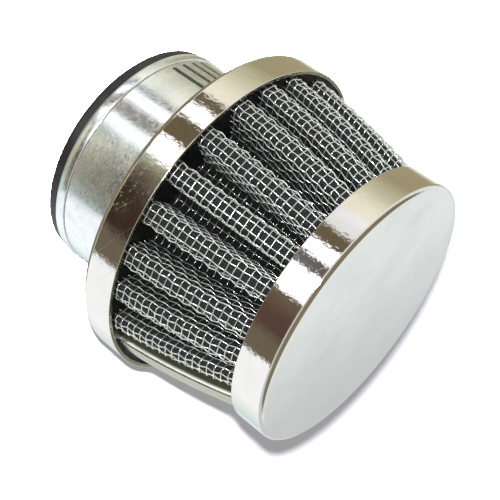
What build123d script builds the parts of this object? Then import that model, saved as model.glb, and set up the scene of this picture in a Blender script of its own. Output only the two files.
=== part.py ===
"""Clamp-on conical air filter with a folded wire screen between two pressed caps.

The part stands on its rubber neck. The origin is the centre of the neck's mouth, +Z runs along the
axis to the closed end cap, and the side that faces -Y is the front. All sizes are in millimetres.
"""

import os
from math import cos, hypot, radians, sin

from build123d import *

os.makedirs("parts", exist_ok=True)

# Rubber liner of the neck: it slips over the engine's inlet stub
bore_diameter = 44.0
liner_wall = 2.3
lip_height = 2.7
lip_overhang = 0.65
lip_round = 1.1
mouth_bevel = 0.5

# Plated sleeve round the liner, slit so that a hose clamp can squeeze it
neck_length = 22.4
sleeve_wall = 0.6
rim_band_height = 2.4
rim_band_thickness = 0.3
flange_clearance = 2.6
slit_width = 1.0
slit_length = 13.2
slit_from_rim = 3.3
slits_per_group = 4
slit_spacing_angle = 6.6
slit_group_angles = (33.0, 213.0)

# Pressed caps
cap_wall = 0.8
base_cap_reach = 10.57
base_cap_depth = 7.6
base_edge_round = 1.3
end_cap_diameter = 59.2
end_cap_depth = 7.4
end_edge_round = 0.9
edge_steps = 2

# Folded pack between the caps: the folds are evenly spaced, and the seam stands in a wider place
open_height = 26.1
fold_count = 23
base_crest_clearance = 0.75
end_crest_clearance = 0.35
seam_angle = 343.4
seam_spacing_angle = 18.7
crest_bevel = 0.5

# Layers of the pack, from outside to inside
screen_thickness = 0.5
media_thickness = 0.55
inner_thickness = 0.4
layer_gap = 0.05
fold_gap = 1.1
seam_gap = 2.0

# Wires of the outer screen, drawn as ridges, and the gaps between them on each crest
wire_width = 0.35
wire_height = 0.25
cross_wire_width = 0.5
window_rows = 4
window_width = 2.2

# Clip that closes the pack's seam
clip_wall = 0.3
clip_leg = 4.0
clip_proud = 0.2
clip_round = 1.0

# Black potting that holds the pack's ends in the caps
base_potting_recess = 0.4
end_potting_recess = 0.9
pack_embed = 1.5
clip_embed = 1.2
potting_inner_wall = 0.8
fit_gap = 0.03

# Radii and heights that follow from the sizes above
bore_radius = bore_diameter / 2
liner_radius = bore_radius + liner_wall
sleeve_inner_radius = liner_radius + fit_gap
sleeve_radius = sleeve_inner_radius + sleeve_wall
base_cap_radius = sleeve_radius + base_cap_reach
base_cap_inner_radius = base_cap_radius - cap_wall
end_cap_radius = end_cap_diameter / 2
end_cap_inner_radius = end_cap_radius - cap_wall
flange_radius = base_cap_inner_radius - flange_clearance
base_floor_z = neck_length + cap_wall
flange_top_z = base_floor_z + sleeve_wall
base_rim_z = neck_length + base_cap_depth
end_rim_z = base_rim_z + open_height
face_z = end_rim_z + end_cap_depth
base_potting_z = base_rim_z - base_potting_recess
end_potting_z = end_rim_z + end_potting_recess
pack_low_z = base_potting_z - pack_embed
pack_high_z = end_potting_z + pack_embed

# Depths of each layer's two faces under the pack's outermost face
media_depth = screen_thickness + layer_gap
inner_depth = media_depth + media_thickness + layer_gap
stack_depth = inner_depth + inner_thickness
fold_half_width = stack_depth + fold_gap / 2
seam_half_width = stack_depth + seam_gap / 2
fold_pitch = (360.0 - 2 * seam_spacing_angle) / (fold_count - 1)
base_crest_radius = base_cap_inner_radius - base_crest_clearance
end_crest_radius = end_cap_inner_radius - end_crest_clearance
crest_slope = (end_crest_radius - base_crest_radius) / open_height
pack_inner_radius = sleeve_radius + potting_inner_wall
fold_depth = base_crest_radius + crest_slope * (pack_low_z - base_rim_z) - stack_depth - pack_inner_radius
window_pitch = open_height / window_rows
window_height = window_pitch - cross_wire_width


def crest_radius(z):
    """Distance from the axis to the flat top of a fold at height z."""
    return base_crest_radius + crest_slope * (z - base_rim_z)


def valley_y(half_width, depth, z, spacing=fold_pitch):
    """Where a fold's side meets the valley floor, measured out along the fold's own centre line.

    The spacing is the angle in degrees to the fold on the valley's other side.
    """
    floor = crest_radius(z) - fold_depth - depth
    half_spacing = radians(spacing / 2)
    return (floor - half_width * sin(half_spacing)) / cos(half_spacing)


def turned(x, y, angle):
    """A point given across (x) and out along (y) a fold, turned to the fold's angle in degrees."""
    a = radians(angle)
    return (y * cos(a) - x * sin(a), y * sin(a) + x * cos(a))


def ridge(start, end, place):
    """Corners of one wire standing on the line from start to end, centred at the share place."""
    length = hypot(end[0] - start[0], end[1] - start[1])
    along = ((end[0] - start[0]) / length, (end[1] - start[1]) / length)
    out = (-along[1], along[0])
    middle = (start[0] + along[0] * length * place, start[1] + along[1] * length * place)
    corners = []
    for side, lift in ((-1, 0), (-1, 1), (1, 1), (1, 0)):
        x = middle[0] + along[0] * side * wire_width / 2 + out[0] * lift * wire_height
        y = middle[1] + along[1] * side * wire_width / 2 + out[1] * lift * wire_height
        corners.append((x, y))
    return corners


def fold_points(fold, depth, z, wires):
    """One fold from the valley on its low-angle side, over the crest, to the other valley."""
    half = fold_half_width - depth
    crest = crest_radius(z) - depth
    floor_before = valley_y(half, depth, z, seam_spacing_angle if fold == 0 else fold_pitch)
    last = fold == fold_count - 1
    floor_after = valley_y(half, depth, z, seam_spacing_angle if last else fold_pitch)
    if not wires:
        return [(-half, floor_before), (-half, crest), (half, crest), (half, floor_after)]
    shoulder = crest - crest_bevel
    flat = half - crest_bevel
    edge = wire_width / (4 * flat)
    points = [(-half, floor_before), (-half, shoulder), (-flat, crest)]
    points += ridge((-flat, crest), (flat, crest), edge)[1:]
    points += ridge((-flat, crest), (flat, crest), 1 - edge)[:3]
    return points + [(flat, crest), (half, shoulder), (half, floor_after)]


def sheet_face(depth, z, wires=False):
    """One face of the folded sheet at height z: from the seam, over every fold, back to the seam."""
    half = seam_half_width - depth
    end = crest_radius(z) + clip_proud - clip_round - layer_gap
    floor = valley_y(half, depth, z, seam_spacing_angle)
    points = [turned(half, end, seam_angle), turned(half, floor, seam_angle)]
    for fold in range(fold_count):
        angle = seam_angle + seam_spacing_angle + fold * fold_pitch
        points += [turned(x, y, angle) for x, y in fold_points(fold, depth, z, wires)]
    return points + [turned(-half, floor, seam_angle), turned(-half, end, seam_angle)]


def up_the_cone(outline, z_low, z_high):
    """The solid between the shapes that outline(z) gives at two heights.

    Every side of a fold is flat and leans with the cone, so the solid is closed from flat faces.
    """
    low = [(x, y, z_low) for x, y in outline(z_low)]
    high = [(x, y, z_high) for x, y in outline(z_high)]
    sides = [Face(Wire.make_polygon(low)), Face(Wire.make_polygon(high))]
    for i in range(len(low)):
        sides.append(Face(Wire.make_polygon((low[i - 1], low[i], high[i], high[i - 1]))))
    return Solid(Shell(sides))


def folded_layer(outer, inner, wires=False):
    """The folded sheet between two depths, over the pack's full height."""
    return up_the_cone(
        lambda z: sheet_face(outer, z, wires) + sheet_face(inner, z)[::-1], pack_low_z, pack_high_z
    )


def pack_room(z_low, z_high):
    """Everything inside the folded outline, with room for the screen's ridges."""
    return up_the_cone(lambda z: sheet_face(-wire_height - fit_gap, z), z_low, z_high)


def rounded(x, y, radius, start):
    """A rounded edge of a profile: a quarter arc about x, y from the start angle, in short flats."""
    points = []
    for step in range(edge_steps + 1):
        angle = radians(start + 90 * step / edge_steps)
        points.append((x + radius * cos(angle), y + radius * sin(angle)))
    return points


# Rubber liner: a plain tube whose rounded lip stands in front of the sleeve's rim
lip_radius = sleeve_inner_radius + lip_overhang
with BuildPart() as neck_rubber:
    with BuildSketch(Plane.XZ):
        Polygon(
            (bore_radius + mouth_bevel, 0),
            *rounded(lip_radius - lip_round, lip_round, lip_round, -90),
            (lip_radius, lip_height),
            (liner_radius, lip_height),
            (liner_radius, flange_top_z),
            (bore_radius, flange_top_z),
            (bore_radius, mouth_bevel),
        )
    revolve(axis=Axis.Z)
neck_rubber.part.label = "neck_rubber"
export_step(neck_rubber.part, "parts/neck_rubber.step")

# Plated sleeve: a rolled band at the mouth, a slit tube, and a flange that lies inside the base cap
band_radius = sleeve_radius + rim_band_thickness
band_top_z = lip_height + rim_band_height
slit_middle_z = lip_height + slit_from_rim + slit_length / 2
slit_group_span = (slits_per_group - 1) * slit_spacing_angle
with BuildPart() as neck_sleeve:
    with BuildSketch(Plane.XZ):
        Polygon(
            (sleeve_inner_radius, lip_height),
            (band_radius, lip_height),
            (band_radius, band_top_z),
            (sleeve_radius, band_top_z),
            (sleeve_radius, base_floor_z),
            (flange_radius, base_floor_z),
            (flange_radius, flange_top_z),
            (sleeve_inner_radius, flange_top_z),
        )
    revolve(axis=Axis.Z)
    for group_angle in slit_group_angles:
        for slit in range(slits_per_group):
            angle = radians(group_angle - slit_group_span / 2 + slit * slit_spacing_angle)
            outward = (cos(angle), sin(angle), 0)
            with BuildSketch(Plane((0, 0, slit_middle_z), x_dir=(0, 0, 1), z_dir=outward)):
                Rectangle(slit_length, slit_width)
            extrude(amount=2 * band_radius, mode=Mode.SUBTRACT)
neck_sleeve.part.label = "neck_sleeve"
export_step(neck_sleeve.part, "parts/neck_sleeve.step")

# Base cap: a pressed cup with a hole for the neck, open towards the end cap
with BuildPart() as base_cap:
    with BuildSketch(Plane.XZ):
        Polygon(
            (sleeve_radius + fit_gap, neck_length),
            *rounded(base_cap_radius - base_edge_round, neck_length + base_edge_round, base_edge_round, -90),
            (base_cap_radius, base_rim_z),
            (base_cap_inner_radius, base_rim_z),
            (base_cap_inner_radius, base_floor_z),
            (sleeve_radius + fit_gap, base_floor_z),
        )
    revolve(axis=Axis.Z)
base_cap.part.label = "base_cap"
export_step(base_cap.part, "parts/base_cap.step")

# End cap: a pressed cup with a flat closed face, open towards the base cap
with BuildPart() as end_cap:
    with BuildSketch(Plane.XZ):
        Polygon(
            (0, face_z - cap_wall),
            (end_cap_inner_radius, face_z - cap_wall),
            (end_cap_inner_radius, end_rim_z),
            (end_cap_radius, end_rim_z),
            *rounded(end_cap_radius - end_edge_round, face_z - end_edge_round, end_edge_round, 0),
            (0, face_z),
        )
    revolve(axis=Axis.Z)
end_cap.part.label = "end_cap"
export_step(end_cap.part, "parts/end_cap.step")

# Outer screen: the folded wire sheet. Its upright wires are ridges, and each crest has a column of
# gaps with cross wires between them
with BuildPart() as outer_screen:
    add(folded_layer(0, screen_thickness, wires=True))
    for row in range(window_rows):
        window_z = base_rim_z + (row + 0.5) * window_pitch
        with Locations((0, 0, window_z)):
            with PolarLocations(
                crest_radius(window_z),
                fold_count,
                start_angle=seam_angle + seam_spacing_angle,
                angular_range=360 - 2 * seam_spacing_angle,
                endpoint=True,
            ):
                Box(fold_depth / 2, window_width, window_height, mode=Mode.SUBTRACT)
outer_screen.part.label = "outer_screen"
export_step(outer_screen.part, "parts/outer_screen.step")

# Filter media: the folded gauze behind the screen
with BuildPart() as filter_media:
    add(folded_layer(media_depth, media_depth + media_thickness))
filter_media.part.label = "filter_media"
export_step(filter_media.part, "parts/filter_media.step")

# Inner screen: the folded sheet that backs the gauze on the clean side
with BuildPart() as inner_screen:
    add(folded_layer(inner_depth, stack_depth))
inner_screen.part.label = "inner_screen"
export_step(inner_screen.part, "parts/inner_screen.step")

# Seam clip: a channel pressed over the two ends of the folded sheet, along the cone's slope
clip_inner_half = seam_half_width + layer_gap
clip_half_width = clip_inner_half + clip_wall
clip_low_z = base_potting_z - clip_embed
clip_high_z = end_potting_z + clip_embed


def clip_point(z):
    """A point on the outer face of the clip's back."""
    x, y = turned(0, crest_radius(z) + clip_proud, seam_angle)
    return Vector(x, y, z)


clip_start = clip_point(clip_low_z)
clip_run = clip_point(clip_high_z) - clip_start
clip_across = Vector(*turned(-1, 0, seam_angle), 0)
clip_plane = Plane(clip_start, x_dir=clip_across, z_dir=clip_run)
with BuildPart() as seam_clip:
    with BuildSketch(clip_plane) as clip_profile:
        with Locations((0, -clip_leg / 2)):
            Rectangle(2 * clip_half_width, clip_leg)
        fillet(clip_profile.vertices().group_by(Axis.Y)[-1], clip_round)
        with Locations((0, -clip_wall - clip_leg / 2)):
            Rectangle(2 * clip_inner_half, clip_leg, mode=Mode.SUBTRACT)
        fillet(clip_profile.vertices().group_by(Axis.Y)[-2], clip_round - clip_wall)
    extrude(amount=clip_run.length)
seam_clip.part.label = "seam_clip"
export_step(seam_clip.part, "parts/seam_clip.step")

# Room that the potting leaves for the clip
with BuildSketch(clip_plane) as clip_room:
    with Locations((0, -clip_leg / 2)):
        Rectangle(2 * (clip_half_width + fit_gap), clip_leg + 2 * fit_gap)

# Potting in the base cap: a ring with a step that the pack stands on, higher outside the folds
with BuildPart() as base_potting:
    with BuildSketch(Plane.XZ):
        Polygon(
            (sleeve_radius, flange_top_z),
            (base_cap_inner_radius - fit_gap, flange_top_z),
            (base_cap_inner_radius - fit_gap, base_potting_z),
            (sleeve_radius, base_potting_z),
        )
    revolve(axis=Axis.Z)
    add(pack_room(pack_low_z, base_rim_z), mode=Mode.SUBTRACT)
    extrude(clip_room.sketch, amount=clip_run.length, mode=Mode.SUBTRACT)
base_potting.part.label = "base_potting"
export_step(base_potting.part, "parts/base_potting.step")

# Potting in the end cap: a disc with the same step round the pack's upper end
with BuildPart() as end_potting:
    with BuildSketch(Plane.XY.offset(end_potting_z)):
        Circle(end_cap_inner_radius - fit_gap)
    extrude(amount=face_z - cap_wall - fit_gap - end_potting_z)
    add(pack_room(end_rim_z, pack_high_z), mode=Mode.SUBTRACT)
    extrude(clip_room.sketch, amount=clip_run.length, mode=Mode.SUBTRACT)
end_potting.part.label = "end_potting"
export_step(end_potting.part, "parts/end_potting.step")
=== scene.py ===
# %% [markdown]
# # A clamp-on air filter in Blender
# A small engine breathes through this filter. A folded strip of woven wire holds a black gauze, two
# pressed and chromed caps hold the strip's ends in black compound, and a plated neck with a rubber
# liner is clamped over the inlet. The CAD model has already settled every size, so this lesson only
# dresses it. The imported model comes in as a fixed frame, and each new piece is made in metres in the
# same place as the solid that it stands for.

import random
from math import cos, hypot, pi, radians, sin, tau

import bmesh
import bpy
from mathutils import Matrix, Vector, noise


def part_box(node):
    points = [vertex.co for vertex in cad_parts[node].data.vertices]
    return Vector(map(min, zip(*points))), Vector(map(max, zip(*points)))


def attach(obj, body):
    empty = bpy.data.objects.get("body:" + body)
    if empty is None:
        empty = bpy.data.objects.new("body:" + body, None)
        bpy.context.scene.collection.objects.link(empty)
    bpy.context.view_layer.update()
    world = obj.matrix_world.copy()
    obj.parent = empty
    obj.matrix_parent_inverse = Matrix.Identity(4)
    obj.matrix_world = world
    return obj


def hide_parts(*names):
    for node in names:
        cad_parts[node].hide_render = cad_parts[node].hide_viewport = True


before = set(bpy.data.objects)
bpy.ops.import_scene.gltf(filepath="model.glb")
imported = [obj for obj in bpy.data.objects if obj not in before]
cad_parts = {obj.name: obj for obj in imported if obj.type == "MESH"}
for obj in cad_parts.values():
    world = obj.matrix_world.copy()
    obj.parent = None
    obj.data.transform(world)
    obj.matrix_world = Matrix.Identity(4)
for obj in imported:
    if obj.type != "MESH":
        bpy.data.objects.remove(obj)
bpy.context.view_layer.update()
MM = 0.001
print("CAD nodes:", sorted(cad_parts))

# %% [markdown]
# ## The camera
# The photograph was taken from a little above the closed end, with the camera rolled, so the axis of
# the filter runs down to the right of the picture. The camera's place, turn and lens come from fitting
# the round edges of the two caps and of the neck, which show as ellipses. It is made first, because
# every other choice is judged through it.


# %% Camera
def new_object(name, data):
    """An object in the scene, made from its data."""
    thing = bpy.data.objects.new(name, data)
    bpy.context.scene.collection.objects.link(thing)
    return thing


camera_data = bpy.data.cameras.new("photo_camera")
camera_data.sensor_width = 36.0
camera_data.lens = 77.97
camera_data.clip_start = 0.01
camera_data.clip_end = 50.0
camera = new_object("photo_camera", camera_data)
camera.location = (-1.061 * MM, -201.068 * MM, 126.592 * MM)
camera.rotation_euler = (radians(-52.561), radians(-47.2621), radians(149.6495))
bpy.context.scene.camera = camera
print("camera stands", round(camera.location.length / MM), "mm from the neck's mouth")

# %% [markdown]
# ## Reading sizes from the frame
# Blender never changes the object's dimensions, so the radii and heights are read from the boxes of
# the CAD nodes. A few thicknesses that no box gives are written down once, here.


# %% Sizes
def node_span(node):
    """Radius, lowest and highest z of a round CAD node, in metres."""
    low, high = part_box(node)
    return (high.x - low.x) / 2, low.z, high.z


base_radius, base_low, base_rim = node_span("base_cap")
end_radius, end_rim, face_z = node_span("end_cap")
lip_radius, mouth_z, liner_top = node_span("neck_rubber")
flange_radius, sleeve_low, sleeve_top = node_span("neck_sleeve")
_, base_potting_low, base_potting_top = node_span("base_potting")
_, end_potting_low, end_potting_high = node_span("end_potting")
pack_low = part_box("outer_screen")[0].z
pack_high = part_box("outer_screen")[1].z
CAP_WALL = 0.8 * MM
SLEEVE_WALL = 0.6 * MM
LINER_WALL = 2.3 * MM
FIT_GAP = 0.03 * MM
bore_radius = 22.0 * MM
liner_radius = bore_radius + LINER_WALL
sleeve_inner = liner_radius + FIT_GAP
sleeve_radius = sleeve_inner + SLEEVE_WALL
base_crest = base_radius - CAP_WALL - 0.75 * MM
end_crest = end_radius - CAP_WALL - 0.35 * MM
crest_slope = (end_crest - base_crest) / (end_rim - base_rim)
CREST_SWELL = 0.6 * MM
print("caps:", round(base_radius / MM, 2), round(end_radius / MM, 2), "mm radius")

# %% [markdown]
# ## From a mesh under construction to a finished piece
# Every piece ends in the same way: its normals point outwards, it is shaded smooth but for real edges,
# and it rides on the only body. A weighted normal keeps a large flat face flat right up to its rounded
# edge, which matters on mirror chrome, where the slightest turn of a normal shows.


# %% Finishing a piece
def finish_piece(name, bm, material, replaced=(), sharp=35.0, weighted=True):
    """The finished object of a bmesh, riding on the body and standing for its CAD nodes."""
    bmesh.ops.remove_doubles(bm, verts=bm.verts, dist=1e-7)
    bmesh.ops.recalc_face_normals(bm, faces=bm.faces)
    mesh = bpy.data.meshes.new(name)
    bm.to_mesh(mesh)
    bm.free()
    mesh.shade_smooth()
    mesh.set_sharp_from_angle(angle=radians(sharp))
    piece = new_object(name, mesh)
    if weighted:
        even = piece.modifiers.new("even_normals", "WEIGHTED_NORMAL")
        even.keep_sharp = True
    place_piece(piece, material, replaced)
    return piece


def place_piece(piece, material, replaced=()):
    """Gives a piece its finish and says what it rides on and stands for."""
    piece.data.materials.clear()
    piece.data.materials.append(material)
    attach(piece, "root")
    if replaced:
        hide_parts(*replaced)
    triangles = sum(len(face.vertices) - 2 for face in piece.data.polygons)
    print(piece.name, "has", triangles, "triangles before its modifiers")


# %% [markdown]
# ## Node helpers
# A material is a small network. These helpers add a node, set its unlinked sockets and join it to
# others, so each finish below reads as a list of what the real surface has.


# %% Node helpers
def add_node(tree, kind, settings=None, links=None, **inputs):
    """A node with its settings, its plain input values and its links from other sockets."""
    node = tree.nodes.new(kind)
    for key, value in (settings or {}).items():
        setattr(node, key, value)
    for key, value in inputs.items():
        node.inputs[key.replace("_", " ")].default_value = value
    for key, source in (links or {}).items():
        tree.links.new(source, node.inputs[key])
    return node


def math_node(tree, operation, first, second=None):
    """The output of a math node. Each operand is a number or a socket."""
    node = tree.nodes.new("ShaderNodeMath")
    node.operation = operation
    for index, operand in enumerate((first, second)):
        if operand is None:
            continue
        if isinstance(operand, (int, float)):
            node.inputs[index].default_value = operand
        else:
            tree.links.new(operand, node.inputs[index])
    return node.outputs[0]


def blend_colors(tree, factor, first, second):
    """The output of a colour mix. Each colour is a tuple or a socket."""
    node = tree.nodes.new("ShaderNodeMix")
    node.data_type = "RGBA"
    tree.links.new(factor, node.inputs[0])
    for index, colour in ((6, first), (7, second)):
        if isinstance(colour, tuple):
            node.inputs[index].default_value = (*colour, 1.0)
        else:
            tree.links.new(colour, node.inputs[index])
    return node.outputs[2]


def value_range(tree, value, low, high, to_low, to_high):
    """The output of a map range node, clamped at both ends."""
    node = tree.nodes.new("ShaderNodeMapRange")
    tree.links.new(value, node.inputs[0])
    for index, number in enumerate((low, high, to_low, to_high), start=1):
        node.inputs[index].default_value = number
    return node.outputs[0]


def new_material(name):
    """An empty node material: its tree, its shader and its object coordinates."""
    material = bpy.data.materials.new(name)
    material.use_nodes = True
    tree = material.node_tree
    tree.nodes.clear()
    shader = tree.nodes.new("ShaderNodeBsdfPrincipled")
    output = tree.nodes.new("ShaderNodeOutputMaterial")
    tree.links.new(shader.outputs[0], output.inputs[0])
    place = tree.nodes.new("ShaderNodeTexCoord")
    return material, tree, shader, place


def new_group(name, inputs, outputs):
    """An empty node group. A place and named numbers go in, and named numbers come out."""
    group = bpy.data.node_groups.new(name, "ShaderNodeTree")
    sockets = group.interface
    sockets.new_socket(name="Place", in_out="INPUT", socket_type="NodeSocketVector")
    for label, value in inputs.items():
        socket = sockets.new_socket(name=label, in_out="INPUT", socket_type="NodeSocketFloat")
        socket.default_value = value
    for label in outputs:
        sockets.new_socket(name=label, in_out="OUTPUT", socket_type="NodeSocketFloat")
    return group, group.nodes.new("NodeGroupInput"), group.nodes.new("NodeGroupOutput")


def use_group(tree, group, place, inputs=None):
    """A group placed in a material, on its object coordinates and with its own values."""
    node = tree.nodes.new("ShaderNodeGroup")
    node.node_tree = group
    tree.links.new(place.outputs["Object"], node.inputs["Place"])
    for key, value in (inputs or {}).items():
        node.inputs[key].default_value = value
    return node


def add_noise(tree, vector, scale, detail, roughness=0.5):
    """The output of a noise over a surface."""
    node = add_node(
        tree,
        "ShaderNodeTexNoise",
        links={"Vector": vector},
        Scale=scale,
        Detail=detail,
        Roughness=roughness,
    )
    return node.outputs[0]


def add_bump(tree, shader, height, strength, distance):
    """Gives a shader the relief of a height. The strength is a number or a socket."""
    bump = add_node(tree, "ShaderNodeBump", links={"Height": height}, Distance=distance)
    if isinstance(strength, float):
        bump.inputs["Strength"].default_value = strength
    else:
        tree.links.new(strength, bump.inputs["Strength"])
    tree.links.new(bump.outputs[0], shader.inputs["Normal"])


def split_rays(tree, seen, others, output):
    """Gives the camera's own rays one shader and all other rays another."""
    ray = add_node(tree, "ShaderNodeLightPath")
    shaders = {0: ray.outputs["Is Camera Ray"], 1: others.outputs[0], 2: seen.outputs[0]}
    choose = add_node(tree, "ShaderNodeMixShader", links=shaders)
    add_node(tree, output, links={"Surface": choose.outputs[0]})


# %% [markdown]
# ## Ripple: what chrome does to a reflection
# Chrome copies the pressed steel below it, which has a fine pebble and some slow waves. On the real
# caps this is why the edge of a bright reflection is ragged. One group adds a coarse and a fine noise,
# and every plated finish uses it with its own sizes and depths. It puts out a height for a bump node.

# %% Ripple group
ripple_group, ripple_in, ripple_out = new_group(
    "plating_ripple", {"Wave Scale": 120.0, "Pebble Scale": 900.0, "Wave Share": 0.5}, ["Height"]
)
wave = add_node(
    ripple_group,
    "ShaderNodeTexNoise",
    links={"Vector": ripple_in.outputs["Place"], "Scale": ripple_in.outputs["Wave Scale"]},
    Detail=1.0,
)
pebble = add_node(
    ripple_group,
    "ShaderNodeTexNoise",
    links={"Vector": ripple_in.outputs["Place"], "Scale": ripple_in.outputs["Pebble Scale"]},
    Detail=2.0,
    Roughness=0.6,
)
wave_height = math_node(
    ripple_group, "MULTIPLY", wave.outputs[0], ripple_in.outputs["Wave Share"]
)
ripple_group.links.new(
    math_node(ripple_group, "ADD", wave_height, pebble.outputs[0]), ripple_out.inputs[0]
)
print("group:", ripple_group.name)

# %% [markdown]
# ## Handling marks
# Fingers, packing and dust leave soft smudges and a few thin scratches on any polished part. The group
# makes both masks once. A scratch is the thin top of a wave that is turned by a mapping node, and a
# slow noise leaves only a few short lengths of it.

# %% Handling marks group
marks_group, marks_in, marks_out = new_group(
    "handling_marks",
    {"Smudge Scale": 90.0, "Scratch Scale": 70.0, "Scratch Level": 0.9995},
    ["Smudge", "Scratch"],
)
smudge = add_node(
    marks_group,
    "ShaderNodeTexNoise",
    links={"Vector": marks_in.outputs["Place"], "Scale": marks_in.outputs["Smudge Scale"]},
    Detail=4.0,
    Roughness=0.62,
)
turned_place = add_node(
    marks_group,
    "ShaderNodeMapping",
    links={"Vector": marks_in.outputs["Place"]},
    Rotation=(0.5, 0.9, 0.35),
)
scratch_wave = add_node(
    marks_group,
    "ShaderNodeTexWave",
    links={"Vector": turned_place.outputs[0], "Scale": marks_in.outputs["Scratch Scale"]},
    Distortion=1.5,
    Detail=0.0,
)
scratch_line = math_node(
    marks_group, "GREATER_THAN", scratch_wave.outputs["Fac"], marks_in.outputs["Scratch Level"]
)
rare_patch = add_noise(marks_group, marks_in.outputs["Place"], 70.0, 0.0)
rare_mask = value_range(marks_group, rare_patch, 0.60, 0.66, 0.0, 1.0)
marks_group.links.new(
    value_range(marks_group, smudge.outputs[0], 0.42, 0.72, 0.0, 1.0), marks_out.inputs[0]
)
marks_group.links.new(
    math_node(marks_group, "MULTIPLY", scratch_line, rare_mask), marks_out.inputs[1]
)
print("group:", marks_group.name)

# %% [markdown]
# ## Pack shade: how deep a point lies in the folds
# The wire, the gauze and the clip's legs are painted darker deep in the valleys: painted shade, where
# little light reaches. The group measures how far a point lies under the line of the crests, and puts
# out a mask that is 0 on a crest and 1 deep in a valley.

# %% Pack shade group
shade_group, shade_in, shade_out = new_group(
    "pack_shade", {"Shallow": 1.8 * MM, "Deep": 6.5 * MM}, ["Shade"]
)
axes = add_node(
    shade_group, "ShaderNodeSeparateXYZ", links={"Vector": shade_in.outputs["Place"]}
)
squares = [math_node(shade_group, "POWER", axes.outputs[axis], 2.0) for axis in "XY"]
radial = math_node(shade_group, "SQRT", math_node(shade_group, "ADD", *squares))
crest_fall = math_node(shade_group, "MULTIPLY", axes.outputs["Z"], crest_slope)
crest_line = math_node(shade_group, "ADD", crest_fall, base_crest - crest_slope * base_rim)
height_share = value_range(shade_group, axes.outputs["Z"], base_rim, end_rim, 0.0, 1.0)
height_rest = math_node(shade_group, "SUBTRACT", 1.0, height_share)
arch = math_node(shade_group, "MULTIPLY", height_share, height_rest)
swell = math_node(shade_group, "MULTIPLY", arch, 4.0 * CREST_SWELL)
swollen = math_node(shade_group, "ADD", crest_line, swell)
under_crest = math_node(shade_group, "SUBTRACT", swollen, radial)
deepness = add_node(
    shade_group,
    "ShaderNodeMapRange",
    links={
        "Value": under_crest,
        "From Min": shade_in.outputs["Shallow"],
        "From Max": shade_in.outputs["Deep"],
    },
)
shade_group.links.new(deepness.outputs[0], shade_out.inputs[0])
print("group:", shade_group.name)

# %% [markdown]
# ## Plated finishes
# The caps are mirror chrome over pressed steel: fully metallic, almost smooth, with a faintly warm
# white. Their cut rims are darker and rougher, and the end cap's flat face ripples less than its
# sides. The neck's zinc plating is brighter but duller, with a spangle of small crystals, which a
# Voronoi pattern gives. The clip is a strip with lines drawn along it. Its rounded corners are painted
# near white, a painted highlight. Its back is painted a darker khaki, a painted shade, with handling
# smudges over it, and its legs are painted dark, a painted shade.

# %% Cap chrome
cap_chrome, tree, shader, place = new_material("cap_chrome_mirror")
ripple = use_group(
    tree, ripple_group, place, {"Wave Scale": 260.0, "Pebble Scale": 950.0, "Wave Share": 1.4}
)
marks = use_group(tree, marks_group, place)
axes = add_node(tree, "ShaderNodeSeparateXYZ", links={"Vector": place.outputs["Object"]})
from_base = math_node(tree, "ABSOLUTE", math_node(tree, "SUBTRACT", axes.outputs["Z"], base_rim))
from_end = math_node(tree, "ABSOLUTE", math_node(tree, "SUBTRACT", axes.outputs["Z"], end_rim))
from_rim = math_node(tree, "MINIMUM", from_base, from_end)
cut_edge = math_node(tree, "LESS_THAN", from_rim, 0.06 * MM)
shader.inputs["Metallic"].default_value = 1.0
plated = blend_colors(tree, marks.outputs["Smudge"], (0.83, 0.82, 0.80), (0.76, 0.755, 0.74))
tree.links.new(
    blend_colors(tree, cut_edge, plated, (0.26, 0.26, 0.17)), shader.inputs["Base Color"]
)
smudge_gloss = value_range(tree, marks.outputs["Smudge"], 0.0, 1.0, 0.03, 0.13)
worn = math_node(tree, "MAXIMUM", marks.outputs["Scratch"], cut_edge)
worn_gloss = math_node(tree, "MULTIPLY", worn, 0.2)
tree.links.new(math_node(tree, "ADD", smudge_gloss, worn_gloss), shader.inputs["Roughness"])
flat_face = value_range(tree, axes.outputs["Z"], face_z - 0.4 * MM, face_z, 1.0, 0.25)
add_bump(tree, shader, ripple.outputs["Height"], flat_face, 0.000026)
print("material:", cap_chrome.name)

# %% Sleeve plating
sleeve_plating, tree, shader, place = new_material("sleeve_zinc_plating")
ripple = use_group(
    tree, ripple_group, place, {"Wave Scale": 210.0, "Pebble Scale": 2300.0, "Wave Share": 0.5}
)
marks = use_group(
    tree, marks_group, place, {"Smudge Scale": 260.0, "Scratch Scale": 95.0, "Scratch Level": 0.9993}
)
spangle = add_node(
    tree, "ShaderNodeTexVoronoi", links={"Vector": place.outputs["Object"]}, Scale=1500.0
)
shader.inputs["Metallic"].default_value = 0.94
dull = blend_colors(tree, spangle.outputs["Color"], (0.82, 0.88, 0.91), (0.95, 0.97, 0.97))
tree.links.new(
    blend_colors(tree, marks.outputs["Smudge"], dull, (0.72, 0.78, 0.81)),
    shader.inputs["Base Color"],
)
spangle_gloss = value_range(tree, spangle.outputs["Color"], 0.0, 1.0, 0.12, 0.24)
scratch_gloss = math_node(tree, "MULTIPLY", marks.outputs["Scratch"], 0.2)
tree.links.new(math_node(tree, "ADD", spangle_gloss, scratch_gloss), shader.inputs["Roughness"])
add_bump(tree, shader, ripple.outputs["Height"], 1.0, 0.000012)
print("material:", sleeve_plating.name)

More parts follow.
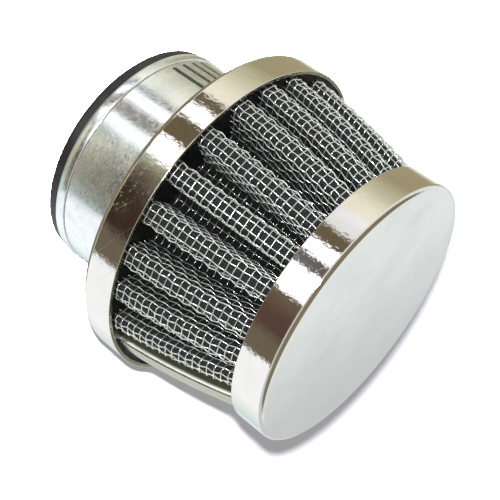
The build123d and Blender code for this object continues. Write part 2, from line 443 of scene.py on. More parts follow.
# %% Clip steel
clip_steel, tree, shader, place = new_material("clip_polished_steel")
along = add_node(
    tree,
    "ShaderNodeMapping",
    links={"Vector": place.outputs["Object"]},
    Scale=(1.0, 1.0, 0.04),
)
drawn = add_noise(tree, along.outputs[0], 2600.0, 3.0)
marks = use_group(tree, marks_group, place)
# Painted shade and highlight: legs painted dark deep under the crest line, corner painted near white,
# back painted darker khaki with real smudges
leg_shade = use_group(tree, shade_group, place, {"Shallow": 0.35 * MM, "Deep": 1.1 * MM})
back_shade = use_group(tree, shade_group, place, {"Shallow": 0.3 * MM, "Deep": 0.1 * MM})
smudged_shaded_back = blend_colors(tree, marks.outputs["Smudge"], (0.56, 0.55, 0.44), (0.50, 0.49, 0.39))
polished = blend_colors(tree, back_shade.outputs[0], (0.97, 0.97, 0.95), smudged_shaded_back)
shader.inputs["Metallic"].default_value = 1.0
tree.links.new(
    blend_colors(tree, leg_shade.outputs[0], polished, (0.10, 0.11, 0.065)),
    shader.inputs["Base Color"],
)
clip_gloss = value_range(tree, drawn, 0.3, 0.7, 0.16, 0.28)
leg_gloss = math_node(tree, "MULTIPLY", leg_shade.outputs[0], 0.3)
tree.links.new(math_node(tree, "ADD", clip_gloss, leg_gloss), shader.inputs["Roughness"])
add_bump(tree, shader, drawn, 1.0, 0.000004)
print("material:", clip_steel.name)

# %% [markdown]
# ## Screen wire
# The screen is bright drawn wire. Close up each wire has a slightly darker and duller side where
# handling and the weaving loom rubbed it, so the colour and the gloss both vary along the wire. Down
# in the valleys the wire is painted dark, a painted shade where little light reaches.

# %% Screen wire
screen_wire, tree, shader, place = new_material("screen_bright_wire")
tarnish = add_noise(tree, place.outputs["Object"], 420.0, 3.0)
tarnish_mask = value_range(tree, tarnish, 0.38, 0.68, 0.0, 1.0)
shader.inputs["Metallic"].default_value = 0.91
# Painted shade: the wire is painted dark deep in the valleys
valley_shade = use_group(tree, shade_group, place)
bright_wire = blend_colors(tree, tarnish_mask, (0.95, 0.99, 0.97), (0.87, 0.91, 0.89))
tree.links.new(
    blend_colors(tree, valley_shade.outputs[0], bright_wire, (0.30, 0.35, 0.33)),
    shader.inputs["Base Color"],
)
tree.links.new(value_range(tree, tarnish, 0.35, 0.7, 0.16, 0.28), shader.inputs["Roughness"])
wire_grain = add_noise(tree, place.outputs["Object"], 9000.0, 1.0)
add_bump(tree, shader, wire_grain, 0.6, 0.000003)
print("material:", screen_wire.name)

# %% [markdown]
# ## Gauze
# The media is a black woven gauze. Its weave has to follow the folds, so the pattern reads the UV map
# that the folded sheet gets below, where U and V are real lengths in metres on the flat cloth. Two
# crossing waves make the threads, and a noise gives the lint. Deep in the valleys the gauze is painted
# almost black, a painted shade.

# %% Gauze
THREAD_PITCH = 0.55 * MM
media_gauze, tree, shader, place = new_material("media_black_gauze")


def thread_wave(direction):
    """Bands across U or V, one for each thread."""
    wave = add_node(
        tree,
        "ShaderNodeTexWave",
        {"bands_direction": direction, "wave_profile": "SIN"},
        {"Vector": place.outputs["UV"]},
        Scale=pi / (10.0 * THREAD_PITCH),
        Distortion=1.2,
        Detail=1.0,
    )
    wave.inputs["Detail Scale"].default_value = 40.0
    return wave.outputs["Fac"]


weave = math_node(tree, "MAXIMUM", thread_wave("X"), thread_wave("Y"))
lint = add_noise(tree, place.outputs["Object"], 1400.0, 4.0, roughness=0.7)
thread_colour = blend_colors(tree, weave, (0.006, 0.006, 0.007), (0.026, 0.028, 0.031))
lint_mask = value_range(tree, lint, 0.55, 0.8, 0.0, 0.6)
linty = blend_colors(tree, lint_mask, thread_colour, (0.045, 0.048, 0.052))
# Painted shade: the gauze is painted almost black deep in the valleys
valley_shade = use_group(tree, shade_group, place, {"Shallow": 1.2 * MM, "Deep": 3.0 * MM})
tree.links.new(
    blend_colors(tree, valley_shade.outputs[0], linty, (0.002, 0.002, 0.002)),
    shader.inputs["Base Color"],
)
tree.links.new(value_range(tree, weave, 0.0, 1.0, 0.95, 0.72), shader.inputs["Roughness"])
shader.inputs["Sheen Weight"].default_value = 0.04
shader.inputs["Sheen Roughness"].default_value = 0.5
shader.inputs["Specular IOR Level"].default_value = 0.2
add_bump(tree, shader, weave, 0.8, 0.00012)
print("material:", media_gauze.name)

# %% [markdown]
# ## Rubber and casting compound
# The liner is moulded rubber, black and half matt with a soft grey shine on its rounded lip. The
# compound in the caps was poured, so it is glossier and slowly wavy.

# %% Rubber
neck_rubber_finish, tree, shader, place = new_material("neck_moulded_rubber")
bloom = add_noise(tree, place.outputs["Object"], 160.0, 4.0)
bloom_mask = value_range(tree, bloom, 0.45, 0.8, 0.0, 1.0)
tree.links.new(
    blend_colors(tree, bloom_mask, (0.012, 0.013, 0.014), (0.035, 0.037, 0.038)),
    shader.inputs["Base Color"],
)
tree.links.new(value_range(tree, bloom, 0.3, 0.8, 0.34, 0.55), shader.inputs["Roughness"])
rubber_grain = add_noise(tree, place.outputs["Object"], 3200.0, 2.0)
add_bump(tree, shader, rubber_grain, 0.6, 0.00002)
print("material:", neck_rubber_finish.name)

# %% Potting
potting_black, tree, shader, place = new_material("potting_cast_black")
flow = add_noise(tree, place.outputs["Object"], 190.0, 3.0)
tree.links.new(
    blend_colors(tree, flow, (0.002, 0.002, 0.002), (0.007, 0.007, 0.007)),
    shader.inputs["Base Color"],
)
tree.links.new(value_range(tree, flow, 0.3, 0.7, 0.4, 0.6), shader.inputs["Roughness"])
shader.inputs["Specular IOR Level"].default_value = 0.25
add_bump(tree, shader, flow, 0.7, 0.0004)
print("material:", potting_black.name)

# %% [markdown]
# ## Pressed caps
# Each cap is a pressed cup, so its section is one closed line spun round the axis. The line is drawn
# sharp, the bevel operator rounds its corners, and spin closes it with its merge option. Extra points
# near a corner keep the flat face's shading flat.

# %% Spinning a section
SPIN_STEPS = 192


def spun_section(corners, rounds=(), closed=True):
    """A bmesh spun from corners (radius, z). rounds holds (corner number, radius, segments)."""
    bm = bmesh.new()
    points = [bm.verts.new((radius, 0.0, z)) for radius, z in corners]
    count = len(points) if closed else len(points) - 1
    for index in range(count):
        bm.edges.new((points[index], points[(index + 1) % len(points)]))
    for corner, radius, segments in rounds:
        bmesh.ops.bevel(
            bm,
            geom=[points[corner]],
            offset=radius,
            offset_type="OFFSET",
            segments=segments,
            affect="VERTICES",
            profile=0.5,
            material=-1,
        )
    bmesh.ops.spin(
        bm,
        geom=bm.verts[:] + bm.edges[:],
        cent=(0.0, 0.0, 0.0),
        axis=(0.0, 0.0, 1.0),
        angle=tau,
        steps=SPIN_STEPS,
        use_merge=True,
    )
    return bm


# %% Base cap
BASE_ROUND = 1.3 * MM
RIM_ROUND = 0.2 * MM
base_corners = [
    (sleeve_radius + FIT_GAP, base_low),
    (base_radius, base_low),
    (base_radius, base_rim),
    (base_radius - CAP_WALL, base_rim),
    (base_radius - CAP_WALL, base_low + CAP_WALL),
    (sleeve_radius + FIT_GAP, base_low + CAP_WALL),
]
finish_piece(
    "base_cap_shell",
    spun_section(base_corners, [(1, BASE_ROUND, 8), (2, RIM_ROUND, 4), (3, RIM_ROUND, 4)]),
    cap_chrome,
    ["base_cap"],
)

# %% End cap
END_ROUND = 0.9 * MM
end_corners = [
    (0.0, face_z - CAP_WALL),
    (end_radius - CAP_WALL, face_z - CAP_WALL),
    (end_radius - CAP_WALL, end_rim),
    (end_radius, end_rim),
    (end_radius, face_z),
    (end_radius - 2.0 * END_ROUND, face_z),
    (end_radius / 2.0, face_z),
    (0.0, face_z),
]
finish_piece(
    "end_cap_shell",
    spun_section(
        end_corners, [(4, END_ROUND, 8), (3, RIM_ROUND, 4), (2, RIM_ROUND, 4)], closed=False
    ),
    cap_chrome,
    ["end_cap"],
)

# %% [markdown]
# ## Neck
# The liner is a moulded tube with a rounded lip. The sleeve over it is thin sheet with a rolled band
# at its mouth and two groups of slits that let a hose clamp squeeze it. The slits are cut with one
# Boolean from a joined set of rounded blocks, because that gives clean ends in the curved wall.

# %% Rubber liner
LIP_ROUND = 1.1 * MM
MOUTH_BEVEL = 0.5 * MM
lip_top = sleeve_low
liner_corners = [
    (bore_radius + MOUTH_BEVEL, mouth_z),
    (lip_radius, mouth_z),
    (lip_radius, lip_top),
    (liner_radius, lip_top),
    (liner_radius, liner_top),
    (bore_radius, liner_top),
    (bore_radius, mouth_z + MOUTH_BEVEL),
]
finish_piece(
    "rubber_liner",
    spun_section(
        liner_corners, [(1, LIP_ROUND, 8), (2, 0.3 * MM, 3), (0, 0.2 * MM, 2), (6, 0.2 * MM, 2)]
    ),
    neck_rubber_finish,
    ["neck_rubber"],
)

# %% Plated sleeve
BAND_THICKNESS = 0.3 * MM
BAND_HEIGHT = 2.4 * MM
band_radius = sleeve_radius + BAND_THICKNESS
sleeve_corners = [
    (sleeve_inner, sleeve_low),
    (band_radius, sleeve_low),
    (band_radius, sleeve_low + BAND_HEIGHT),
    (sleeve_radius, sleeve_low + BAND_HEIGHT + 0.15 * MM),
    (sleeve_radius, sleeve_top - SLEEVE_WALL),
    (flange_radius, sleeve_top - SLEEVE_WALL),
    (flange_radius, sleeve_top),
    (sleeve_inner, sleeve_top),
]
sleeve = finish_piece(
    "plated_sleeve",
    spun_section(sleeve_corners, [(1, 0.25 * MM, 4), (2, 0.2 * MM, 3), (0, 0.12 * MM, 2)]),
    sleeve_plating,
    ["neck_sleeve"],
    weighted=False,
)

# %% Slits in the sleeve
SLIT_WIDTH = 1.0 * MM
SLIT_LENGTH = 13.2 * MM
SLIT_FROM_RIM = 3.3 * MM
SLIT_SPACING = 6.6
SLIT_GROUPS = (33.0, 213.0)
SLITS_PER_GROUP = 4
SLIT_ROUND = 0.4 * MM
PUNCH_DEPTH = 3 * MM
slit_z = sleeve_low + SLIT_FROM_RIM + SLIT_LENGTH / 2
punch = bmesh.new()
for group_angle in SLIT_GROUPS:
    for slit in range(SLITS_PER_GROUP):
        turn = radians(group_angle + (slit - (SLITS_PER_GROUP - 1) / 2) * SLIT_SPACING)
        shape = Matrix.Rotation(turn, 4, "Z") @ Matrix.Translation((sleeve_radius, 0, slit_z))
        block = bmesh.ops.create_cube(
            punch, size=1.0, matrix=shape @ Matrix.Diagonal((PUNCH_DEPTH, SLIT_WIDTH, SLIT_LENGTH, 1))
        )
        outward = Vector((cos(turn), sin(turn), 0))
        ends = {
            edge
            for vert in block["verts"]
            for edge in vert.link_edges
            if abs((edge.verts[0].co - edge.verts[1].co).normalized().dot(outward)) > 0.9
        }
        bmesh.ops.bevel(
            punch,
            geom=list(ends),
            offset=SLIT_ROUND,
            segments=4,
            affect="EDGES",
            profile=0.5,
            material=-1,
        )
punch_mesh = bpy.data.meshes.new("slit_punch")
punch.to_mesh(punch_mesh)
punch.free()
punch_object = new_object("slit_punch", punch_mesh)
cut = sleeve.modifiers.new("slits", "BOOLEAN")
cut.operation = "DIFFERENCE"
cut.solver = "EXACT"
cut.object = punch_object
bpy.context.view_layer.update()
evaluated = sleeve.evaluated_get(bpy.context.evaluated_depsgraph_get())
slit_mesh = bpy.data.meshes.new_from_object(evaluated)
sleeve.modifiers.clear()
sleeve.data = slit_mesh
sleeve.data.shade_smooth()
sleeve.data.set_sharp_from_angle(angle=radians(35.0))
bpy.data.objects.remove(punch_object)
print("sleeve with slits:", len(sleeve.data.polygons), "faces")

# %% [markdown]
# ## The fold
# The strip is folded 23 times round the cone, and its seam stands in a wider place. Everything in the
# pack follows the same line, so that line is made once: down one side of a fold, round the valley, up
# the next side and over the crest. A fold keeps its width and depth from one cap to the other, and
# only the valleys get narrower towards the end cap. Half way up, the pack swells out a little. Real
# folds are never even, so each one leans and shifts. The ones that the photograph shows lean as there.

# %% Fold sizes
FOLD_COUNT = 23
SEAM_ANGLE = 343.4
SEAM_SPACING = 18.7
FOLD_PITCH = (360.0 - 2 * SEAM_SPACING) / (FOLD_COUNT - 1)
FOLD_HALF_WIDTH = 2.1 * MM
SEAM_HALF_WIDTH = 2.4 * MM
SEAM_DROP = 1.0 * MM
CREST_ROUND = 0.75 * MM
VALLEY_ROUND = 0.8 * MM
STACK_DEPTH = 1.55 * MM
POTTING_WALL = 0.8 * MM
fold_depth = (
    base_crest
    + crest_slope * (pack_low - base_rim)
    - STACK_DEPTH
    - sleeve_radius
    - POTTING_WALL
)
print("fold depth in mm:", round(fold_depth / MM, 2))

# How the folds seen in the photograph differ from their even place, by fold number, counted round
# from the seam: shift and lean in degrees, then rise in millimetres
SEEN_FOLDS = {
    1: (3.0, 0.0, -0.9),
    2: (1.5, 0.0, -0.3),
    15: (2.4, 0.0, 0.0),
    16: (1.4, 0.0, 0.0),
    17: (0.2, 0.0, 0.0),
    18: (1.0, 0.0, -0.1),
    19: (1.3, 0.0, 0.0),
    20: (1.6, 0.0, 0.0),
    21: (3.0, 0.0, 0.1),
    22: (2.3, 0.0, 0.1),
    23: (1.5, -2.5, 0.1),
}
random.seed(7)
fold_habit = {}
for fold in range(1, FOLD_COUNT + 1):
    usual = (random.uniform(-0.8, 0.8), random.uniform(-1.0, 1.0), random.uniform(-0.2, 0.1))
    fold_habit[fold] = SEEN_FOLDS.get(fold, usual)


# %% Fold line
def crest_radius(z):
    """Distance from the axis to the top of a fold, with the swell between the caps."""
    share = (z - base_rim) / (end_rim - base_rim)
    swell = max(0.0, 4.0 * share * (1.0 - share)) * CREST_SWELL
    return base_crest + crest_slope * (z - base_rim) + swell


def fold_angle(fold):
    """The even place of a fold in degrees. The strip's ends are folds 0 and FOLD_COUNT + 1."""
    if fold == 0:
        return SEAM_ANGLE
    if fold == FOLD_COUNT + 1:
        return SEAM_ANGLE + 360.0
    return SEAM_ANGLE + SEAM_SPACING + (fold - 1) * FOLD_PITCH


def fold_point(fold, across, out, z):
    """A point across and out along a fold at height z, in the row frame."""
    shift, lean, _ = fold_habit.get(fold, (0.0, 0.0, 0.0))
    along = (z - base_rim) / (end_rim - base_rim) - 0.5
    angle = radians(fold_angle(fold) + shift + lean * along)
    return Vector(
        (out * cos(angle) - across * sin(angle), out * sin(angle) + across * cos(angle), z)
    )


def side_ends(fold, direction, depth, z):
    """Half width, crest height, top and foot of a fold's side, and its corner in the valley."""
    seam = fold in (0, FOLD_COUNT + 1)
    half = (SEAM_HALF_WIDTH if seam else FOLD_HALF_WIDTH) - depth
    rise = -SEAM_DROP if seam else fold_habit[fold][2] * MM
    crest = crest_radius(z) - depth + rise
    round_off = 0.0 if seam else min(half, max(0.3 * MM, CREST_ROUND - depth))
    half_spacing = radians(abs(fold_angle(fold + direction) - fold_angle(fold)) / 2)
    floor = (crest_radius(z) - fold_depth - depth - half * sin(half_spacing)) / cos(half_spacing)
    return half, crest, crest - round_off, floor + VALLEY_ROUND + depth, floor


def over_crest(fold, depth, z, share):
    """A point on the rounded crest, by its share of the way across."""
    half, crest, top, _, _ = side_ends(fold, 1, depth, z)
    corner = crest - top
    arc, flat = corner * pi / 2, 2 * (half - corner)
    run = share * (2 * arc + flat)
    if run < arc:
        turn = run / corner
        return fold_point(fold, -half + corner - corner * cos(turn), top + corner * sin(turn), z)
    if run > arc + flat:
        turn = (2 * arc + flat - run) / corner
        return fold_point(fold, half - corner + corner * cos(turn), top + corner * sin(turn), z)
    return fold_point(fold, -half + corner + run - arc, crest, z)


def along_side(fold, direction, depth, z, share):
    """A point on a fold's side. direction is 1 going down from the crest and -1 going up to it."""
    half, _, top, foot, _ = side_ends(fold, direction, depth, z)
    start, end = (top, foot) if direction > 0 else (foot, top)
    return fold_point(fold, direction * half, start + (end - start) * share, z)


def through_valley(fold, depth, z, share):
    """A point in the valley after a fold: a cubic curve from its foot to the next fold's foot."""
    half, _, _, foot, floor = side_ends(fold, 1, depth, z)
    next_half, _, _, next_foot, next_floor = side_ends(fold + 1, -1, depth, z)
    a = fold_point(fold, half, foot, z)
    b = fold_point(fold, half, floor, z)
    c = fold_point(fold + 1, -next_half, next_floor, z)
    d = fold_point(fold + 1, -next_half, next_foot, z)
    rest = 1 - share
    return a * rest**3 + b * 3 * rest**2 * share + c * 3 * rest * share**2 + d * share**3


# %% [markdown]
# ## Stations along the fold line
# A woven screen has a fixed number of upright wires, and each keeps its own place on the fold from one
# cap to the other: three cells over a crest, four down each side and two in a valley. So the line is
# divided section by section, and a station keeps its number at every height.


# %% Stations
def fold_line(depth, z, cells, steps):
    """The folded line at a height, with steps points in each cell. cells counts the cells of a side,
    of a crest and of a valley. The line starts and ends in the seam."""
    side_cells, crest_cells, valley_cells = cells
    points = []

    def walk(count, place):
        for step in range(count * steps):
            points.append(place(step / (count * steps)))

    for fold in range(FOLD_COUNT + 1):
        if fold > 0:
            walk(side_cells, lambda share: along_side(fold, -1, depth, z, share))
            walk(crest_cells, lambda share: over_crest(fold, depth, z, share))
        walk(side_cells, lambda share: along_side(fold, 1, depth, z, share))
        walk(valley_cells, lambda share: through_valley(fold, depth, z, share))
    last = FOLD_COUNT + 1
    walk(side_cells, lambda share: along_side(last, -1, depth, z, share))
    points.append(along_side(last, -1, depth, z, 1.0))
    return points


def outward(points):
    """The outward direction at each point of a line that runs round the axis by growing angle."""
    normals = []
    for index in range(len(points)):
        tangent = points[min(index + 1, len(points) - 1)] - points[max(index - 1, 0)]
        normals.append(Vector((tangent.y, -tangent.x, 0)).normalized())
    return normals


SCREEN_CELLS = (4, 3, 2)
test_line = fold_line(0.25 * MM, base_rim, SCREEN_CELLS, 1)
line_length = sum((b - a).length for a, b in zip(test_line, test_line[1:]))
print(len(test_line), "upright wires,", round(line_length / MM), "mm of strip")

# %% [markdown]
# ## Woven wires
# The wires could be faked with a bump, but their glints against the black gauze are what the eye sees
# first, so they are real. Each wire is a curve with a thin round bevel, which is far lighter than any
# thread built face by face. A wire passes over one crossing wire and under the next. The uprights wave
# more than the hoops, and the two waves add up to more than a wire's thickness, so that the two sets
# pass clear of each other. All wires of one direction become one mesh.


# %% Weaving
# How far each set of wires waves out or in, as a share of the wire's thickness
HOOP_WAVE = 0.3
UPRIGHT_WAVE = 0.8


def wires_to_piece(name, runs, wire, sides, replaced=()):
    """One mesh piece from many wire runs. sides is the bevel's own resolution number."""
    curve = bpy.data.curves.new(name + "_runs", "CURVE")
    curve.dimensions = "3D"
    curve.bevel_depth = wire / 2
    curve.bevel_resolution = sides
    curve.use_fill_caps = True
    for run in runs:
        spline = curve.splines.new("POLY")
        spline.points.add(len(run) - 1)
        spline.points.foreach_set("co", [value for point in run for value in (*point, 1.0)])
    holder = new_object(name + "_runs", curve)
    bpy.context.view_layer.update()
    evaluated = holder.evaluated_get(bpy.context.evaluated_depsgraph_get())
    mesh = bpy.data.meshes.new_from_object(evaluated)
    mesh.name = name
    bpy.data.objects.remove(holder)
    bpy.data.curves.remove(curve)
    place_piece(new_object(name, mesh), screen_wire, replaced)


def woven_runs(depth, wire, cells, row_heights, wander):
    """The hoop runs and the upright runs of a woven strip."""
    hoops, levels = [], []
    heights = []
    for z, after in zip(row_heights, row_heights[1:]):
        heights += [z, (z + after) / 2]
    heights.append(row_heights[-1])
    for level, z in enumerate(heights):
        points = fold_line(depth, z, cells, 2)
        normals = outward(points)
        levels.append((points, normals))
        if level % 2:
            continue
        run = []
        for station, (point, normal) in enumerate(zip(points, normals)):
            side = (1, 0, -1, 0)[station % 4] * (1 if level % 4 else -1)
            drift = noise.noise(Vector((station * 0.11, level * 3.1, 0.0))) * wander
            run.append(point + normal * side * wire * HOOP_WAVE + Vector((0, 0, drift)))
        hoops.append(run)
    uprights = []
    for station in range(0, len(levels[0][0]), 2):
        run = []
        for level, (points, normals) in enumerate(levels):
            side = (1, 0, -1, 0)[level % 4] * (1 if station % 4 else -1)
            point = points[station] + normals[station] * side * wire * UPRIGHT_WAVE
            if 0 < station < len(points) - 1:
                drift = noise.noise(Vector((level * 0.17, station * 2.3, 5.0))) * wander
                point += (points[station + 1] - points[station]).normalized() * drift
            run.append(point)
        uprights.append(run)
    return hoops, uprights


# %% Outer screen
WIRE = 0.26 * MM
ROW_PITCH = 1.45 * MM
SCREEN_DEPTH = 0.1 * MM
first_row = base_potting_top - 0.7 * ROW_PITCH
row_count = int((end_potting_low - first_row) / ROW_PITCH) + 2
screen_rows = [first_row + row * ROW_PITCH for row in range(row_count)]
hoops, uprights = woven_runs(SCREEN_DEPTH, WIRE, SCREEN_CELLS, screen_rows, 0.16 * MM)
print(len(hoops), "hoop wires and", len(uprights), "upright wires")
wires_to_piece("outer_screen_hoops", hoops, WIRE, 1, ["outer_screen"])
wires_to_piece("outer_screen_uprights", uprights, WIRE, 1)

# %% [markdown]
# ## Inner screen
# Behind the gauze a coarser screen keeps it from being sucked into the neck. It only shows through the
# bore, so it gets wider cells and wires with fewer sides.

# %% Inner screen
INNER_CELLS = (3, 2, 1)
INNER_WIRE = 0.3 * MM
INNER_DEPTH = 1.35 * MM
INNER_PITCH = 2.3 * MM
INNER_ROWS = 13
inner_rows = [first_row + row * INNER_PITCH for row in range(INNER_ROWS)]
hoops, uprights = woven_runs(INNER_DEPTH, INNER_WIRE, INNER_CELLS, inner_rows, 0.1 * MM)
wires_to_piece("inner_screen_hoops", hoops, INNER_WIRE, 0, ["inner_screen"])
wires_to_piece("inner_screen_uprights", uprights, INNER_WIRE, 0)

# %% [markdown]
# ## Gauze sheet
# The gauze is one strip of cloth folded with the screen. It starts as a flat grid, whose columns keep
# the stations of the fold line, and each vertex is moved to its folded place. The UV map keeps the
# flat lengths, so the weave of its material isn't stretched. Solidify gives it its real thickness.

# %% Gauze sheet
GAUZE_DEPTH = 0.83 * MM
GAUZE_THICKNESS = 0.45 * MM
GAUZE_CELLS = (2, 4, 3)
GAUZE_LEVELS = 12
GAUZE_SAG = 0.06 * MM
gauze_heights = [pack_low + (pack_high - pack_low) * n / GAUZE_LEVELS for n in range(GAUZE_LEVELS + 1)]
gauze_lines = [fold_line(GAUZE_DEPTH, z, GAUZE_CELLS, 1) for z in gauze_heights]
columns = len(gauze_lines[0])
bm = bmesh.new()
bmesh.ops.create_grid(bm, x_segments=columns - 1, y_segments=GAUZE_LEVELS, size=1.0)
uv_layer = bm.loops.layers.uv.new("flat_cloth")
middle_line = gauze_lines[GAUZE_LEVELS // 2]
flat_u = [0.0]
for a, b in zip(middle_line, middle_line[1:]):
    flat_u.append(flat_u[-1] + (b - a).length)
slant = hypot(1.0, crest_slope)
ordered = sorted(bm.verts, key=lambda vert: (round(vert.co.y, 5), round(vert.co.x, 5)))
stations = {vert: divmod(number, columns) for number, vert in enumerate(ordered)}
for vert, (level, column) in stations.items():
    for loop in vert.link_loops:
        loop[uv_layer].uv = (flat_u[column], (gauze_heights[level] - pack_low) * slant)
    sag = noise.noise(Vector((column * 0.35, level * 0.9, 2.0))) * GAUZE_SAG
    vert.co = gauze_lines[level][column] + outward(gauze_lines[level])[column] * sag
gauze_area = sum(face.calc_area() for face in bm.faces)
gauze = finish_piece(
    "gauze_media", bm, media_gauze, ["filter_media"], sharp=80.0, weighted=False
)
wall = gauze.modifiers.new("gauze_thickness", "SOLIDIFY")
wall.thickness = GAUZE_THICKNESS
wall.offset = 0.0

# %% [markdown]
# ## Seam clip
# The strip's two ends are pressed together in a polished channel. Its section is a short open line
# with rounded corners and a slightly crowned back, extruded up the slope of the cone and given its
# wall by solidify.

# %% Seam clip
CLIP_WALL = 0.3 * MM
CLIP_HALF = 2.9 * MM
CLIP_LEG = 4.0 * MM
CLIP_PROUD = 0.2 * MM
CLIP_ROUND = 1.1 * MM
CLIP_CROWN = 0.2 * MM
CROWN_STEPS = 10
CLIP_STEPS = 12
CLIP_EMBED = 1.2 * MM
clip_low = base_potting_top - CLIP_EMBED
clip_high = end_potting_low + CLIP_EMBED


def clip_place(across, inward, z):
    """A point of the clip's middle surface at height z."""
    return fold_point(0, across, crest_radius(z) + CLIP_PROUD - inward, z)


bm = bmesh.new()
half = CLIP_HALF - CLIP_WALL / 2
section = [(-half, CLIP_LEG)]
for step in range(CROWN_STEPS + 1):
    share = 2.0 * step / CROWN_STEPS - 1.0
    section.append((share * half, CLIP_WALL / 2 + CLIP_CROWN * share**2))
section.append((half, CLIP_LEG))
corners = [bm.verts.new(clip_place(across, inward, clip_low)) for across, inward in section]
for a, b in zip(corners, corners[1:]):
    bm.edges.new((a, b))
bmesh.ops.bevel(
    bm,
    geom=[corners[1], corners[-2]],
    offset=CLIP_ROUND,
    offset_type="OFFSET",
    segments=6,
    affect="VERTICES",
    profile=0.5,
    material=-1,
)
clip_heights = [clip_low + (clip_high - clip_low) * n / CLIP_STEPS for n in range(CLIP_STEPS + 1)]
edges = bm.edges[:]
for z, next_z in zip(clip_heights, clip_heights[1:]):
    pulled = bmesh.ops.extrude_edge_only(bm, edges=edges)["geom"]
    bmesh.ops.translate(
        bm,
        verts=[part for part in pulled if isinstance(part, bmesh.types.BMVert)],
        vec=clip_place(0, 0, next_z) - clip_place(0, 0, z),
    )
    edges = [part for part in pulled if isinstance(part, bmesh.types.BMEdge)]
bmesh.ops.recalc_face_normals(bm, faces=bm.faces)
bmesh.ops.solidify(bm, geom=bm.faces[:], thickness=CLIP_WALL)
finish_piece("seam_clip_channel", bm, clip_steel, ["seam_clip"])

# %% [markdown]
# ## Casting compound
# The black compound was poured into each cap round the ends of the pack. Its surface creeps up a
# little where it touches the cap's wall and is never quite even, so the spun ring's free surface gets
# that edge and a slow waviness.


# %% Casting compound
CAST_STEPS = 10
CAST_CLIMB = 0.2 * MM
CREEP_WIDTH = 0.9 * MM
CALM_WIDTH = 1.5 * MM
CAST_WAVE = 0.16 * MM
NEAR_SURFACE = 0.35 * MM


def cast_compound(name, inner, outer, bottom, surface, replaced):
    """A ring of compound between two radii, from its bottom to its free surface."""
    up = 1.0 if surface > bottom else -1.0
    free = []
    for step in range(CAST_STEPS + 1):
        radius = outer + (inner - outer) * step / CAST_STEPS
        near_wall = max(0.0, 1.0 - (outer - radius) / CREEP_WIDTH)
        free.append((radius, surface + CAST_CLIMB * up * near_wall**2))
    bm = spun_section([(inner, bottom), (outer, bottom)] + free, closed=inner > 0.0)
    for vert in bm.verts:
        if abs(vert.co.z - surface) < NEAR_SURFACE:
            calm = min(1.0, (outer - hypot(vert.co.x, vert.co.y)) / CALM_WIDTH)
            vert.co.z += noise.noise(vert.co * 260.0) * CAST_WAVE * calm
    return finish_piece(name, bm, potting_black, replaced, sharp=60.0, weighted=False)


cast_compound(
    "base_casting",
    sleeve_radius + 0.01 * MM,
    base_radius - CAP_WALL - FIT_GAP,
    base_potting_low,
    base_potting_top - 0.3 * MM,
    ["base_potting"],
)
cast_compound(
    "end_casting",
    0.0,
    end_radius - CAP_WALL - FIT_GAP,
    end_potting_high - 0.01 * MM,
    end_potting_low + 0.2 * MM,
    ["end_potting"],
)

# %% [markdown]
# ## Floor, room and lamps
# Chrome only looks like chrome when it has something to reflect. The room is a world made of nodes:
# three rings of bands by compass direction, for what the neck, the base cap and the end cap reflect,
# with warm beige, bright windows, dark furniture and a white table. A pale ceiling is above them, and
# straight up and down it is brown. The camera itself sees plain white. The floor is a pale grey that
# its lamp brings up to white. One far lamp lights the part from the camera's side. A second small
# lamp, just above the lens, is linked to the floor alone and draws the narrow shadow that lies under
# the part in the picture. Far from the part the floor glows plain white, because that lamp is too
# weak there.

# %% Floor
floor_mesh = bmesh.new()
bmesh.ops.create_grid(floor_mesh, x_segments=4, y_segments=4, size=6.0)
floor_data = bpy.data.meshes.new("floor")
floor_mesh.to_mesh(floor_data)
floor_mesh.free()
floor = new_object("floor", floor_data)
floor_white = bpy.data.materials.new("floor_white")
floor_white.use_nodes = True
tree = floor_white.node_tree
tree.nodes.clear()
matt = add_node(tree, "ShaderNodeBsdfDiffuse", Color=(0.49, 0.50, 0.56, 1.0))
floor_place = add_node(tree, "ShaderNodeTexCoord")
far_off = add_node(
    tree,
    "ShaderNodeVectorMath",
    {"operation": "LENGTH"},
    {"Vector": floor_place.outputs["Object"]},
)
far_white = value_range(tree, far_off.outputs["Value"], 0.27, 0.5, 0.0, 1.0)
glow = add_node(tree, "ShaderNodeEmission", links={"Strength": far_white})
plain_glow = add_node(tree, "ShaderNodeEmission", Strength=0.7)
seen = add_node(tree, "ShaderNodeAddShader", links={0: matt.outputs[0], 1: glow.outputs[0]})
split_rays(tree, seen, plain_glow, "ShaderNodeOutputMaterial")
floor.data.materials.append(floor_white)
floor.visible_glossy = False
print("floor:", floor.name)

# %% Room
ROOM_STRENGTH = 1.7
WINDOW = (1.0, 1.0, 1.0)
WHITE_TABLE = (0.64, 0.65, 0.65)
PALE_GREY = (0.40, 0.46, 0.45)
CREAM = (0.60, 0.57, 0.47)
SAND = (0.40, 0.38, 0.27)
KHAKI = (0.24, 0.21, 0.125)
OLIVE = (0.095, 0.072, 0.042)
WOOD = (0.10, 0.08, 0.055)
BROWN = (0.03, 0.018, 0.012)
STONE = (0.34, 0.35, 0.29)
FROST = (0.40, 0.46, 0.48)
SLATE = (0.17, 0.21, 0.24)
TAUPE = (0.17, 0.155, 0.135)
